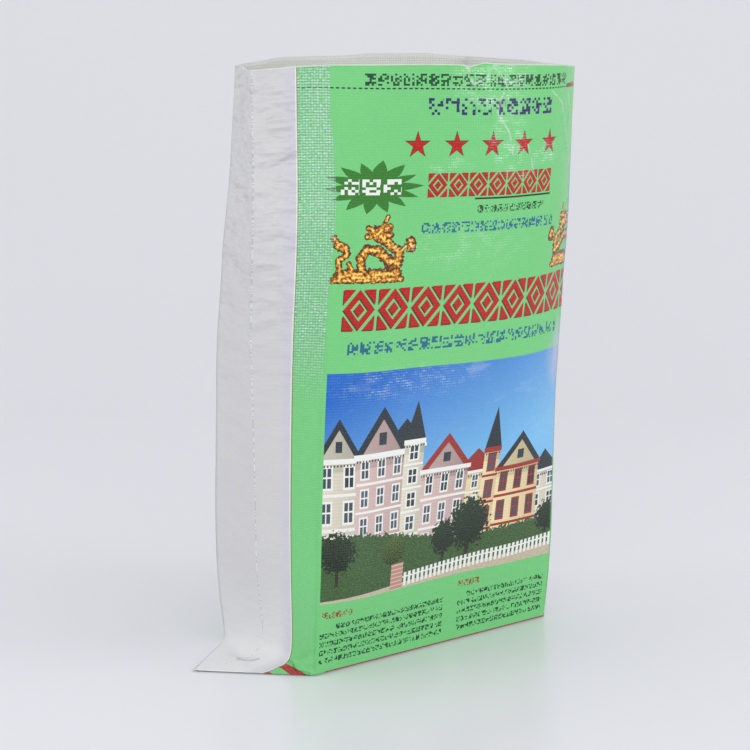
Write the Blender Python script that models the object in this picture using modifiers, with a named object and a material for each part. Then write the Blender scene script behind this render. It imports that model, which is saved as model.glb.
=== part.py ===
"""An open-mouth square-bottom bag of laminated woven plastic tape, standing empty and open.

The bag is one woven tube, closed below by folding its end flat to a six-sided bottom.
Both ends of that bottom are dog ears, which lie on the floor while the bag is empty.
A strip is welded under the folds. Metres, Z up, the front of the bag faces -Y.
"""

from collections import namedtuple
from math import cos, pi, radians, sin, sqrt

import bmesh
import bpy

# Driving dimensions of the flat tube
TUBE_WIDTH = 0.450
SIDE_WIDTH = 0.145
STANDING_HEIGHT = 0.575
FABRIC = 0.0004
FRONT_WIDTH = TUBE_WIDTH - SIDE_WIDTH
HALF_SIDE = SIDE_WIDTH / 2

# The welded strip under the folded bottom
PATCH_LENGTH = 0.286
PATCH_WIDTH = 0.112
PATCH_THICKNESS = 0.0003
PATCH_CORNER = 0.012
GAP = 0.0003
BOTTOM_LEVEL = PATCH_THICKNESS + GAP

# Each dog ear: how far it reaches from the floor fold, how far it slants to the back
# for each metre outwards, and how softly the side wall curves out into it
EAR_REACH = 0.078
EAR_SLANT = 0.18
EAR_SOFTNESS = 0.024
FOOT_HEIGHT = 0.045

# The cut rim stands this much higher at the middle of the back than at the corners
BACK_RIM_RISE = 0.005

# Mesh density
FRONT_SEGMENTS = 16
HALF_SIDE_SEGMENTS = 5
FIRST_BACK_COLUMN = FRONT_SEGMENTS + 2 * HALF_SIDE_SEGMENTS
FOOT_ROWS = 7
WALL_ROWS = 14

# The front panel bends softly at these distances from its left fold
FRONT_BENDS = (0.0, 0.060, 0.140, 0.230, FRONT_WIDTH)

# Plan section of the tube at one height. Angles are in degrees from +X towards +Y.
# The corner is the front left fold. The front runs from there, with one angle for
# each of its bends. The left side has one angle for its half before the crease,
# where the tube was folded flat, and one for its half behind it. The back runs from
# the left to the right, turning evenly from its first angle to its last. The right
# side closes the section, with its crease pointing outwards.
Section = namedtuple("Section", "height corner front left back")
SECTIONS = (
    Section(0.000, (-0.1525, -0.0725), (0, 0, 0, 0, 0), (90, 90), (0, 0)),
    Section(0.100, (-0.156, -0.081), (-23, 3, 2, -2, 8), (104, 85), (4, -5)),
    Section(0.250, (-0.150, -0.081), (-21, -5, -7, 3, 29), (115, 80), (9, -9)),
    Section(0.420, (-0.137, -0.080), (-25, -18, -8, 8, 35), (142, 72), (20, -16)),
    Section(
        STANDING_HEIGHT,
        (-0.127, -0.067),
        (-38, -32, -13, 9, 43),
        (147, 63),
        (27, -27),
    ),
)


def reset_scene():
    for old in list(bpy.data.objects):
        bpy.data.objects.remove(old, do_unlink=True)


def new_collection(name):
    collection = bpy.data.collections.new(name)
    bpy.context.scene.collection.children.link(collection)
    return collection


def new_material(name, color, roughness):
    material = bpy.data.materials.new(name)
    material.use_nodes = True
    shader = material.node_tree.nodes["Principled BSDF"]
    shader.inputs["Base Color"].default_value = (*color, 1.0)
    shader.inputs["Roughness"].default_value = roughness
    shader.inputs["Metallic"].default_value = 0.0
    return material


def new_object(name, work, collection, material):
    mesh = bpy.data.meshes.new(name)
    work.to_mesh(mesh)
    work.free()
    part = bpy.data.objects.new(name, mesh)
    collection.objects.link(part)
    mesh.materials.append(material)
    return part


def smooth_value(before, start, end, after, share):
    """Catmull-Rom value between start and end."""
    slope_start = (end - before) / 2
    slope_end = (after - start) / 2
    square = share * share
    cube = square * share
    return (
        start * (2 * cube - 3 * square + 1)
        + slope_start * (cube - 2 * square + share)
        + end * (3 * square - 2 * cube)
        + slope_end * (cube - square)
    )


def section_at(height):
    """The plan section at any height, curved smoothly through the given ones."""
    height = max(height, 0.0)
    last = len(SECTIONS) - 2
    index = min(sum(height > section.height for section in SECTIONS[1:]), last)
    lower, upper = SECTIONS[index], SECTIONS[index + 1]
    before = SECTIONS[max(index - 1, 0)]
    after = SECTIONS[min(index + 2, last + 1)]
    share = (height - lower.height) / (upper.height - lower.height)

    def blend(field):
        rows = (getattr(section, field) for section in (before, lower, upper, after))
        return tuple(smooth_value(*values, share) for values in zip(*rows))

    return Section(height, *(blend(field) for field in Section._fields[1:]))


def angle_at(distance, bends, angles):
    """The angle between the nearest bends at a distance along a panel."""
    k = sum(distance >= bend for bend in bends[1:-1])
    share = (distance - bends[k]) / (bends[k + 1] - bends[k])
    return angles[k] + (angles[k + 1] - angles[k]) * share


def walk(start, bends, angles, segments):
    """Points after start along a panel that turns evenly from bend to bend."""
    points = []
    x, y = start
    step = bends[-1] / segments
    for k in range(segments):
        angle = radians(angle_at((k + 0.5) * step, bends, angles))
        x += step * cos(angle)
        y += step * sin(angle)
        points.append((x, y))
    return points


def points_between(start, end, segments):
    """Points after start, evenly spaced on the straight way to end."""
    return [
        (
            start[0] + (end[0] - start[0]) * k / segments,
            start[1] + (end[1] - start[1]) * k / segments,
        )
        for k in range(1, segments + 1)
    ]


def crease_outside(front, back):
    """Where two half sides from these folds meet, to the right of the way front to back."""
    dx, dy = back[0] - front[0], back[1] - front[1]
    apart = sqrt(dx * dx + dy * dy)
    reach = sqrt(max(HALF_SIDE**2 - apart**2 / 4, 0.0)) / apart
    return (front[0] + dx / 2 + dy * reach, front[1] + dy / 2 - dx * reach)


def tube_outline(section):
    """The closed plan outline, from the front left fold along the front and round."""
    front = [section.corner]
    front += walk(front[-1], FRONT_BENDS, section.front, FRONT_SEGMENTS)
    left = [section.corner]
    for angle in section.left:
        left += walk(left[-1], (0.0, HALF_SIDE), (angle, angle), HALF_SIDE_SEGMENTS)
    back = walk(left[-1], (0.0, FRONT_WIDTH), section.back, FRONT_SEGMENTS)
    crease = crease_outside(front[-1], back[-1])
    right = points_between(front[-1], crease, HALF_SIDE_SEGMENTS)
    right += points_between(crease, back[-1], HALF_SIDE_SEGMENTS)
    return front + right + back[-2::-1] + left[:0:-1]


def ear_depths():
    """How far below the floor fold each column of the flat tube reaches."""
    half = [EAR_REACH * k / HALF_SIDE_SEGMENTS for k in range(HALF_SIDE_SEGMENTS)]
    side = half + [EAR_REACH] + half[:0:-1]
    plain = [0.0] * FRONT_SEGMENTS
    return plain + side + plain + side


def rim_rises():
    """How far each column's cut end stands over the lowest part of the rim."""
    rises = []
    for column in range(2 * FIRST_BACK_COLUMN):
        along_back = (column - FIRST_BACK_COLUMN) / FRONT_SEGMENTS
        on_back = 0.0 < along_back < 1.0
        rises.append(BACK_RIM_RISE * sin(pi * along_back) if on_back else 0.0)
    return rises


def foot_lift(depth, height):
    """How far a column with an ear is pushed outwards, and up, at this fabric height."""
    softness = EAR_SOFTNESS * sqrt(depth / EAR_REACH)
    return (sqrt(height * height + softness * softness) - height) / 2


def row_heights(depth, rise):
    """Fabric heights of the rows of one column, from the floor outline to the rim."""
    foot = [
        -depth + (FOOT_HEIGHT + depth) * k / FOOT_ROWS for k in range(FOOT_ROWS)
    ]
    wall_height = STANDING_HEIGHT + rise - FOOT_HEIGHT
    wall = [FOOT_HEIGHT + wall_height * k / WALL_ROWS for k in range(WALL_ROWS + 1)]
    return foot + wall


def column_points(column, depth, rise, sections):
    """The points of one column of the tube, from the floor outline to the rim.

    The fabric keeps its length: where it leans, it stands less high. Below height 0 it
    has turned outwards into the ear, and ends on the floor.
    """
    outward = 1.0 if column <= FIRST_BACK_COLUMN else -1.0
    points = []
    before = None
    level = 0.0
    for height in row_heights(depth, rise):
        wall_height = max(height, 0.0)
        x, y = sections(wall_height)[column]
        if before is not None:
            climb = wall_height - before[2]
            shift = (x - before[0]) ** 2 + (y - before[1]) ** 2
            level += sqrt(max(climb * climb - shift, 0.0))
        before = (x, y, wall_height)
        lift = foot_lift(depth, height) if depth else 0.0
        z = level + lift
        if height < 0.0:
            over_floor = foot_lift(depth, -depth) - depth
            z += height + over_floor * height / depth
        points.append((x + outward * lift, y + EAR_SLANT * lift, BOTTOM_LEVEL + z))
    return points


def make_sleeve(collection):
    """The woven tube with its folded bottom: one skin, open at the mouth."""
    known = {}

    def sections(height):
        if height not in known:
            known[height] = tube_outline(section_at(height))
        return known[height]

    depths = ear_depths()
    work = bmesh.new()
    columns = [
        [work.verts.new(point) for point in column_points(index, depth, rise, sections)]
        for index, (depth, rise) in enumerate(zip(depths, rim_rises()))
    ]
    for left, right in zip(columns, columns[1:] + columns[:1]):
        for row in range(len(left) - 1):
            work.faces.new((left[row], right[row], right[row + 1], left[row + 1]))
    work.faces.new([column[0] for column in reversed(columns)])
    bmesh.ops.recalc_face_normals(work, faces=work.faces)
    fabric = new_material("woven_fabric_green", (0.22, 0.60, 0.26), 0.35)
    sleeve = new_object("sleeve", work, collection, fabric)
    skin = sleeve.modifiers.new("fabric_thickness", "SOLIDIFY")
    skin.thickness = FABRIC
    skin.offset = -1.0
    return sleeve


def make_bottom_patch(collection):
    """The strip welded under the folded bottom."""
    work = bmesh.new()
    bmesh.ops.create_cube(work, size=1.0)
    size = (PATCH_LENGTH, PATCH_WIDTH, PATCH_THICKNESS)
    bmesh.ops.scale(work, vec=size, verts=work.verts)
    bmesh.ops.translate(work, vec=(0.0, 0.0, PATCH_THICKNESS / 2), verts=work.verts)
    upright = [
        edge
        for edge in work.edges
        if abs(edge.verts[0].co.z - edge.verts[1].co.z) > PATCH_THICKNESS / 2
    ]
    bmesh.ops.bevel(
        work,
        geom=upright,
        offset=PATCH_CORNER,
        segments=3,
        profile=0.5,
        affect="EDGES",
        material=-1,
    )
    white = new_material("woven_fabric_white", (0.78, 0.78, 0.80), 0.5)
    return new_object("bottom_patch", work, collection, white)


def main():
    reset_scene()
    collection = new_collection("square_bottom_bag")
    make_sleeve(collection)
    make_bottom_patch(collection)


main()
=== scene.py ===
from collections import namedtuple
from math import cos, exp, pi, radians, sin, sqrt

import bmesh
import bpy
import numpy as np
from bpy.props import FloatProperty, FloatVectorProperty, PointerProperty
from bpy.types import Operator, Panel, PropertyGroup
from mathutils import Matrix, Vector, noise


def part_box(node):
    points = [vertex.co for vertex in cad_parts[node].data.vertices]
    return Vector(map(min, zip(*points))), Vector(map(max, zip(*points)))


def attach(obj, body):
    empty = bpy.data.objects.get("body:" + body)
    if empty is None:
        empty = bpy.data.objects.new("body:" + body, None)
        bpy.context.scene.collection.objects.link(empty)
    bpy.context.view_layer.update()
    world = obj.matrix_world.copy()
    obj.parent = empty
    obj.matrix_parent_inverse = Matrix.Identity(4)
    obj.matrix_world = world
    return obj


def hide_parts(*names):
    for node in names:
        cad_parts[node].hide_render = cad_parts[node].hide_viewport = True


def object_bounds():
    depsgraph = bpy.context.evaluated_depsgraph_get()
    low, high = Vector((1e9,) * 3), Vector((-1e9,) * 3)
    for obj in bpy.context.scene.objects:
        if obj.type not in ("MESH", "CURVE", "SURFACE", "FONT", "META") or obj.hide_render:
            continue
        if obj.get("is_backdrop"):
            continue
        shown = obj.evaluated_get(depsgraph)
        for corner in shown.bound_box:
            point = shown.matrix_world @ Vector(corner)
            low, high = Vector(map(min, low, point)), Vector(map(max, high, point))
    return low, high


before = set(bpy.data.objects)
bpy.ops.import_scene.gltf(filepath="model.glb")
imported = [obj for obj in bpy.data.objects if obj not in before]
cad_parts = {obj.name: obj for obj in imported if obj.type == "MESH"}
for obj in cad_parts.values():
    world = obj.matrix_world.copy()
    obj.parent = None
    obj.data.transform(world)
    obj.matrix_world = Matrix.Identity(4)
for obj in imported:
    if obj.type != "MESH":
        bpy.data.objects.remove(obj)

bl_info = {
    "name": "Square-bottom woven bag",
    "version": (1, 0, 0),
    "blender": (4, 5, 0),
    "location": "3D View > Sidebar > Bag",
    "description": "Makes the printed woven sleeve, its folded bottom and a plain studio",
    "category": "Object",
}

CAD_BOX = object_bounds()

# The flat tube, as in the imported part
TUBE_WIDTH = 0.450
SIDE_WIDTH = 0.145
STANDING_HEIGHT = 0.575
FRONT_WIDTH = TUBE_WIDTH - SIDE_WIDTH
HALF_SIDE = SIDE_WIDTH / 2
GIRTH = 2 * TUBE_WIDTH
SLEEVE_LENGTH = 0.66
EAR_REACH = 0.078
EAR_SLANT = 0.18
EAR_SOFTNESS = 0.024
FOOT_HEIGHT = 0.045
# The cut end stands this much over the plain height. Each pair is the distance round from
# the front left fold, negative on the left side and the left of the back, and the rise.
RIM_CUT = (
    (-0.450, 0.0052), (-0.426, 0.0064), (-0.403, 0.0075), (-0.380, 0.0081),
    (-0.356, 0.0079), (-0.333, 0.0072), (-0.309, 0.0056), (-0.262, 0.0050),
    (-0.215, 0.0042), (-0.192, 0.0019), (-0.145, -0.0012), (-0.109, -0.0026),
    (-0.0725, -0.0044), (-0.048, -0.0047), (-0.024, -0.0040), (0.0, -0.0026),
    (0.024, -0.0019), (0.094, -0.0011), (0.122, -0.0010), (0.134, -0.0026),
    (0.147, 0.0012), (0.165, 0.0002), (0.224, -0.0007), (0.260, -0.0022),
    (0.285, -0.0045), (0.305, -0.0052), (0.353, -0.0036), (0.378, -0.0012),
    (0.426, 0.0024), (0.450, 0.0052),
)

# Two flaps, folded over each other, and a welded strip lie under the sleeve's bottom
FLAP_OVERLAP = 0.012
FLAP_SLANT = 0.070
SHEET_CORNER = 0.004
STRIP_THICKNESS = 0.0002
STRIP_LEVEL = 0.0001
BACK_FLAP_LEVEL = 0.0005
FRONT_FLAP_LEVEL = 0.0008
BOTTOM_LEVEL = 0.0012

# Mesh of the sleeve, about 4 mm a face
FRONT_SEGMENTS = 78
HALF_SIDE_SEGMENTS = 18
FIRST_BACK_COLUMN = FRONT_SEGMENTS + 2 * HALF_SIDE_SEGMENTS
COLUMNS = 2 * FIRST_BACK_COLUMN
FOOT_ROWS = 26
WALL_ROWS = 132
ROWS = FOOT_ROWS + WALL_ROWS
SECTION_STEP = 0.0025

# The front panel bends softly at these distances from its left fold
FRONT_BENDS = (0.0, 0.060, 0.140, 0.230, FRONT_WIDTH)

# Plan section of the tube at one height, with its angles in degrees from +X towards +Y:
# one for each bend of the front, one for each half of the left side, and the first and
# last of the back. The right side closes the section.
Section = namedtuple("Section", "height corner front left back")
SECTIONS = (
    Section(0.000, (-0.1525, -0.0725), (0, 0, 0, 0, 0), (90, 90), (0, 0)),
    Section(0.100, (-0.156, -0.081), (-23, 3, 2, -2, 8), (104, 85), (4, -5)),
    Section(0.250, (-0.150, -0.081), (-21, -5, -7, 3, 29), (115, 80), (9, -9)),
    Section(0.420, (-0.137, -0.080), (-25, -18, -8, 8, 35), (142, 72), (20, -16)),
    Section(STANDING_HEIGHT, (-0.127, -0.067), (-38, -32, -13, 9, 43), (147, 63), (27, -27)),
)

# Creases pressed into the fabric. Start and end are fabric places: distance round from
# the front left fold, negative on the left side, and height. Ridges have a positive
# height and dents a negative one.
Crease = namedtuple("Crease", "start end width height")
CREASES = (
    Crease((-0.0725, 0.03), (-0.0725, 0.56), 0.0016, 0.0007),
    Crease((-0.0680, -0.012), (-0.0740, -0.018), 0.0055, -0.0026),
    Crease((-0.0740, -0.018), (-0.0980, -0.014), 0.0065, -0.0026),
    Crease((-0.0820, -0.008), (-0.1350, 0.004), 0.0050, 0.0012),
    Crease((-0.0270, -0.016), (-0.0180, -0.006), 0.0060, 0.0032),
    Crease((-0.0220, 0.003), (-0.0050, 0.022), 0.0030, -0.0010),
    Crease((-0.0120, 0.004), (0.0020, 0.016), 0.0030, 0.0010),
    Crease((0.240, 0.545), (0.262, 0.534), 0.0024, 0.0012),
    Crease((0.262, 0.534), (0.272, 0.505), 0.0024, 0.0012),
    Crease((0.272, 0.505), (0.289, 0.486), 0.0024, 0.0012),
    Crease((0.279, 0.545), (0.290, 0.500), 0.0030, -0.0012),
    Crease((0.286, 0.330), (0.287, 0.265), 0.0030, 0.0016),
    Crease((0.128, 0.556), (0.140, 0.574), 0.0045, -0.0018),
    Crease((0.142, 0.552), (0.152, 0.574), 0.0040, 0.0018),
    Crease((0.160, 0.570), (0.172, 0.548), 0.0035, 0.0012),
    Crease((0.172, 0.548), (0.160, 0.524), 0.0040, 0.0012),
    Crease((0.176, 0.568), (0.198, 0.552), 0.0050, 0.0014),
    Crease((0.198, 0.552), (0.230, 0.548), 0.0040, -0.0010),
    Crease((0.150, 0.536), (0.178, 0.520), 0.0055, 0.0012),
    Crease((0.178, 0.520), (0.186, 0.494), 0.0045, 0.0012),
    Crease((0.120, 0.500), (0.150, 0.512), 0.0060, 0.0010),
    Crease((0.185, 0.478), (0.226, 0.472), 0.0050, -0.0010),
    Crease((0.050, 0.520), (0.082, 0.532), 0.0080, 0.0010),
)

# Sharp creases of the film near the mouth, too fine for the mesh: start, end and radius in
# millimetres, measured as the creases above
FILM_CREASES = (
    ((128, 575), (136, 556), 2.2),
    ((136, 556), (150, 562), 2.0),
    ((150, 562), (160, 576), 2.2),
    ((160, 570), (176, 556), 2.0),
    ((176, 556), (190, 560), 1.8),
    ((170, 548), (162, 530), 2.0),
    ((162, 530), (178, 512), 2.0),
    ((178, 512), (186, 490), 1.8),
    ((240, 548), (262, 536), 1.8),
    ((262, 536), (274, 508), 1.8),
    ((274, 508), (291, 484), 1.8),
    ((281, 548), (292, 520), 1.8),
    ((292, 520), (296, 470), 1.6),
    ((206, 498), (220, 470), 1.6),
)
# The same for the ear on the left, with the distance going on round the tube
EAR_CREASES = (
    ((842, -15), (840, -22), 1.8),
    ((840, -22), (835, -27), 2.4),
    ((835, -27), (828, -28), 2.4),
    ((828, -28), (822, -25), 1.8),
    ((872, 2), (884, -8), 2.6),
    ((884, -8), (897, -2), 2.4),
)

# Each fold of the flat tube keeps a crest. The front left one wanders with the height.
FOLDS = (0.0, FRONT_WIDTH, TUBE_WIDTH, TUBE_WIDTH + FRONT_WIDTH, GIRTH)
CREST_HEIGHT = 0.0019
CREST_WIDTH = 0.014
FOLD_HEIGHTS = (0.0, 0.295, 0.359, 0.435, 0.470, 0.522, 0.575)
FOLD_SHIFTS = (-0.0025, -0.0006, 0.0020, 0.0045, 0.0044, -0.0005, 0.0010)

# The fabric bows slowly, more towards the mouth, and has small dimples. Its white side has
# ripples. Each stretch is where they start and end, and how softly they fade beyond it.
BOW_HEIGHT = 0.0009
DIMPLE_HEIGHT = 0.00022
RIPPLE_PITCH = 0.021
MOUTH_STRETCH = (0.42, 0.60, 0.16)
RIPPLES_ACROSS = (-0.066, -0.034, 0.006)
RIPPLES_UP = (0.30, 0.555, 0.03)
CREST_STRETCH = (0.05, 1.0, 0.05)
# Beyond these distances, on the back and the right side, the ears have no relief. All
# relief fades out over the last stretch to the fabric's lower edge.
EARS_PLAIN_BEYOND = (-0.16, 0.3)
STRETCH_OVER_EARS = (0.004, 1.0, 0.03)
RELIEF_FADE = 0.015
# An ear's upper layer lies this many thicknesses over the bottom, and comes down to it
# over this stretch at its edge
EAR_LAYERS = 2.2
EAR_EDGE = 0.004
WELD_DISTANCE = 0.00001

# Places of the print on the fabric. The green's edges are across from the front left fold,
# and it reaches this far from its middle. The guide line is a height, and the picture an
# area: left, right, bottom and top.
GREEN_START = -0.0305
GREEN_END = 0.3355
GREEN_MIDDLE = (GREEN_START + GREEN_END) / 2
GREEN_REACH = (GREEN_END - GREEN_START) / 2
GUIDE_LINE = 0.5515
PICTURE = (0.0035, 0.3035, 0.0715, 0.2900)
# A dark line ends the green and a cream one starts the white, whose middle crease shows as
# a line of specks
EDGE_LINE = 0.0005
CREAM_LINE = 0.0014
SPECKED_CREASE = -0.0706
SPECK_PITCH = 0.0013
# The print is in three materials: its rows, its picture and its notes, which meet at
# these heights in plain green
PRINT_LIMITS = (0.2965, 0.0690)
BOTTOM_SLOT = 3
EDGE_SLOT = 4
INSIDE_SLOT = 5

# The sleeve's UV maps, in metres: the place round the tube and up it, and the distance
# round it and down from the rim
FABRIC_MAP = "fabric"
RIM_MAP = "rim"
TAPES_ROUND = 354
TAPE = GIRTH / TAPES_ROUND
SEALED_EDGE = 0.0010
WRINKLE_HEIGHT = 0.0008
SWIRL_HEIGHT = 0.017

# The photograph's camera, over the middle of the bag's foot
CAMERA_PLACE = (-1.264, -1.479, 0.589)
CAMERA_DOWN = 9.5
CAMERA_AZIMUTH = 40.14
FOCAL_PIXELS = 1971
IMAGE_PIXELS = 750
SENSOR = 36.0

# Soft boxes that face the middle of the bag: name, place, size and the setting for power
BAG_MIDDLE = (0.0, 0.0, 0.28)
SOFT_BOXES = (
    ("key_box", (1.35, -2.25, 0.95), (0.9, 0.9), "key_light"),
    ("side_box", (-2.15, -2.05, 1.10), (1.1, 1.0), "side_light"),
    ("back_box", (-2.30, 0.90, 1.00), (1.0, 1.0), "back_light"),
)
# The backdrop's floor runs from before the bag to the wall behind it
FLOOR_START = -5.0
FLOOR_END = 3.2
WALL_HEIGHT = 4.5
BACKDROP_WIDTH = 12.0
SWEEP_RADIUS = 2.0


def tone(red, green, blue):
    """A screen colour from 0 to 255 as the linear colour that shaders take."""
    return tuple(
        c / 12.92 if c <= 0.04045 else ((c + 0.055) / 1.055) ** 2.4
        for c in (red / 255, green / 255, blue / 255)
    )


def color_property(name, description, default):
    return FloatVectorProperty(
        name=name,
        description=description,
        default=tone(*default),
        subtype="COLOR",
        size=3,
        min=0.0,
        max=1.0,
    )


def length_property(name, description, default):
    return FloatProperty(name=name, description=description, default=default, unit="LENGTH")


def light_property(name, description, default):
    return FloatProperty(name=name, description=description, default=default, min=0.0)


class BagFabricSettings(PropertyGroup):
    fabric_thickness: length_property(
        "Fabric thickness", "Thickness of the laminated fabric", 0.0003
    )
    ripple_height: length_property(
        "Ripple height", "Height of the soft ripples across the white side", 0.0008
    )
    tape_relief: length_property(
        "Tape relief", "How far the woven tapes stand over each other", 0.00026
    )
    film_roughness: FloatProperty(
        name="Film roughness",
        description="Roughness of the glossy film over the print",
        default=0.22,
        subtype="FACTOR",
        min=0.0,
        max=1.0,
    )
    side_white: color_property("Side white", "Film on the white sides", (211, 209, 211))
    inside_white: color_property("Inside white", "Bare tape inside", (227, 227, 223))
    edge_cream: color_property("Cut edge", "Cut and sealed rim", (236, 238, 226))


class BagPrintSettings(PropertyGroup):
    green: color_property("Green", "Ground of the print", (117, 205, 126))
    dark_green: color_property("Dark green", "Small rows and guide line", (12, 70, 36))
    red: color_property("Red", "Stars and heavy rows", (184, 2, 8))
    navy: color_property("Navy", "Row over the stars", (44, 40, 96))
    blue: color_property("Blue", "Fine rows", (34, 104, 136))
    gold: color_property("Gold", "Ornaments", (222, 140, 26))
    sky: color_property("Sky", "Upper sky of the picture", (26, 102, 198))


class BagStudioSettings(PropertyGroup):
    backdrop: color_property("Backdrop", "Floor and backdrop", (233, 232, 238))
    soft_light: light_property("Soft light", "Strength of the even light from all round", 0.87)
    key_light: light_property(
        "Key light", "Power of the soft box on the front's side, in watts", 14.0
    )
    side_light: light_property(
        "Side light", "Power of the soft box on the white side, in watts", 13.0
    )
    back_light: light_property(
        "Back light", "Power of the soft box behind the white side, in watts", 7.0
    )


# Shape of the fabric


def smooth_value(before, start, end, after, share):
    """Catmull-Rom value between start and end."""
    slope_start = (end - before) / 2
    slope_end = (after - start) / 2
    square = share * share
    cube = square * share
    return (
        start * (2 * cube - 3 * square + 1)
        + slope_start * (cube - 2 * square + share)
        + end * (3 * square - 2 * cube)
        + slope_end * (cube - square)
    )


def section_at(height):
    """The plan section at any height, curved smoothly through the given ones."""
    last = len(SECTIONS) - 2
    index = min(sum(height > section.height for section in SECTIONS[1:]), last)
    lower, upper = SECTIONS[index], SECTIONS[index + 1]
    before = SECTIONS[max(index - 1, 0)]
    after = SECTIONS[min(index + 2, last + 1)]
    share = (height - lower.height) / (upper.height - lower.height)

    def blend(field):
        rows = (getattr(section, field) for section in (before, lower, upper, after))
        return tuple(smooth_value(*values, share) for values in zip(*rows))

    return Section(height, *(blend(field) for field in Section._fields[1:]))


def walk(start, bends, angles, segments):
    """Points after start along a panel that turns evenly from bend to bend."""
    points = []
    x, y = start
    step = bends[-1] / segments
    for k in range(segments):
        distance = (k + 0.5) * step
        bend = sum(distance >= place for place in bends[1:-1])
        share = (distance - bends[bend]) / (bends[bend + 1] - bends[bend])
        angle = radians(angles[bend] + (angles[bend + 1] - angles[bend]) * share)
        x += step * cos(angle)
        y += step * sin(angle)
        points.append((x, y))
    return points


def points_between(start, end, segments):
    """Points after start, evenly spaced on the straight way to end."""
    return [
        (
            start[0] + (end[0] - start[0]) * k / segments,
            start[1] + (end[1] - start[1]) * k / segments,
        )
        for k in range(1, segments + 1)
    ]


def crease_outside(front, back):
    """Where two half sides from these folds meet, to the right of the way front to back."""
    dx, dy = back[0] - front[0], back[1] - front[1]
    apart = sqrt(dx * dx + dy * dy)
    reach = sqrt(max(HALF_SIDE**2 - apart**2 / 4, 0.0)) / apart
    return (front[0] + dx / 2 + dy * reach, front[1] + dy / 2 - dx * reach)


def tube_outline(section):
    """The closed plan outline, from the front left fold along the front and round to it."""
    front = [section.corner]
    front += walk(front[-1], FRONT_BENDS, section.front, FRONT_SEGMENTS)
    left = [section.corner]
    for angle in section.left:
        left += walk(left[-1], (0.0, HALF_SIDE), (angle, angle), HALF_SIDE_SEGMENTS)
    back = walk(left[-1], (0.0, FRONT_WIDTH), section.back, FRONT_SEGMENTS)
    crease = crease_outside(front[-1], back[-1])
    right = points_between(front[-1], crease, HALF_SIDE_SEGMENTS)
    right += points_between(crease, back[-1], HALF_SIDE_SEGMENTS)
    return front + right + back[-2::-1] + left[::-1]


def column_distances():
    """Distance of each column round the tube from the front left fold."""
    front = np.linspace(0.0, FRONT_WIDTH, FRONT_SEGMENTS + 1)
    side = np.linspace(0.0, SIDE_WIDTH, 2 * HALF_SIDE_SEGMENTS + 1)[1:]
    half = np.concatenate([front, FRONT_WIDTH + side])
    return np.concatenate([half, TUBE_WIDTH + half[1:]])


def ear_depth(distance):
    """How far below the floor fold the tube reaches at this distance round it."""
    beyond = distance % TUBE_WIDTH - FRONT_WIDTH
    if beyond <= 0.0:
        return 0.0
    return EAR_REACH * min(beyond, SIDE_WIDTH - beyond) / HALF_SIDE


def signed_distance(distance):
    """Distance from the front left fold, negative on the left side and the left back."""
    return distance - GIRTH if distance > GIRTH / 2 else distance


def rim_rise(distance):
    """How far the cut end stands over the plain height at this distance."""
    return float(np.interp(signed_distance(distance), *zip(*RIM_CUT)))


def foot_lift(depth, height):
    """How far a column with an ear is pushed outwards, and up, at this fabric height."""
    softness = EAR_SOFTNESS * sqrt(depth / EAR_REACH)
    return (np.sqrt(height * height + softness * softness) - height) / 2


def row_heights(depth, rise):
    """Fabric heights of one column's rows, from the floor outline to the rim."""
    foot = np.linspace(-depth, FOOT_HEIGHT, FOOT_ROWS + 1)
    wall = np.linspace(FOOT_HEIGHT, STANDING_HEIGHT + rise, WALL_ROWS + 1)
    return np.concatenate([foot, wall[1:]])


def fabric_columns():
    """Each column's distance, fabric heights and places, round the whole tube."""
    top = STANDING_HEIGHT + 0.010
    levels = np.arange(0.0, top, SECTION_STEP)
    plans = np.array([tube_outline(section_at(level)) for level in levels])
    shifts = (np.diff(plans, axis=0) ** 2).sum(axis=2)
    climbs = np.sqrt(np.maximum(SECTION_STEP**2 - shifts, 0.0))
    stands = np.vstack([np.zeros((1, COLUMNS + 1)), np.cumsum(climbs, axis=0)])
    columns = []
    for column, distance in enumerate(column_distances()):
        depth = ear_depth(distance)
        heights = row_heights(depth, rim_rise(distance))
        wall = np.maximum(heights, 0.0)
        x = np.interp(wall, levels, plans[:, column, 0])
        y = np.interp(wall, levels, plans[:, column, 1])
        z = np.interp(wall, levels, stands[:, column])
        if depth > 0.0:
            lift = foot_lift(depth, heights)
            below = np.minimum(heights, 0.0)
            over_floor = foot_lift(depth, -depth) - depth
            z = z + lift + below + over_floor * below / depth
            outward = 1.0 if column <= FIRST_BACK_COLUMN else -1.0
            x = x + outward * lift
            y = y + EAR_SLANT * lift
        columns.append((distance, heights, np.stack([x, y, BOTTOM_LEVEL + z], axis=1)))
    return columns


def window(value, low, high, soft):
    """1 between low and high, fading to 0 over the soft width outside them."""
    outside = max(low - value, value - high, 0.0)
    return max(1.0 - outside / soft, 0.0)


def crease_relief(place):
    """Height that the pressed creases give a fabric place."""
    total = 0.0
    for crease in CREASES:
        start, end = Vector(crease.start), Vector(crease.end)
        along = end - start
        share = min(max((place - start).dot(along) / along.length_squared, 0.0), 1.0)
        away = (place - start - along * share).length / crease.width
        if away < 3.0:
            total += crease.height * exp(-away * away) * (0.35 + 0.65 * sin(pi * share))
    return total


def fold_crest(distance, height):
    """Height that the folds of the flat tube give a fabric place."""
    shift = float(np.interp(height, FOLD_HEIGHTS, FOLD_SHIFTS))
    places = [fold + shift * (fold % GIRTH == 0.0) for fold in FOLDS]
    away = min(abs(distance - place) for place in places)
    return CREST_HEIGHT * exp(-away / CREST_WIDTH)


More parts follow.
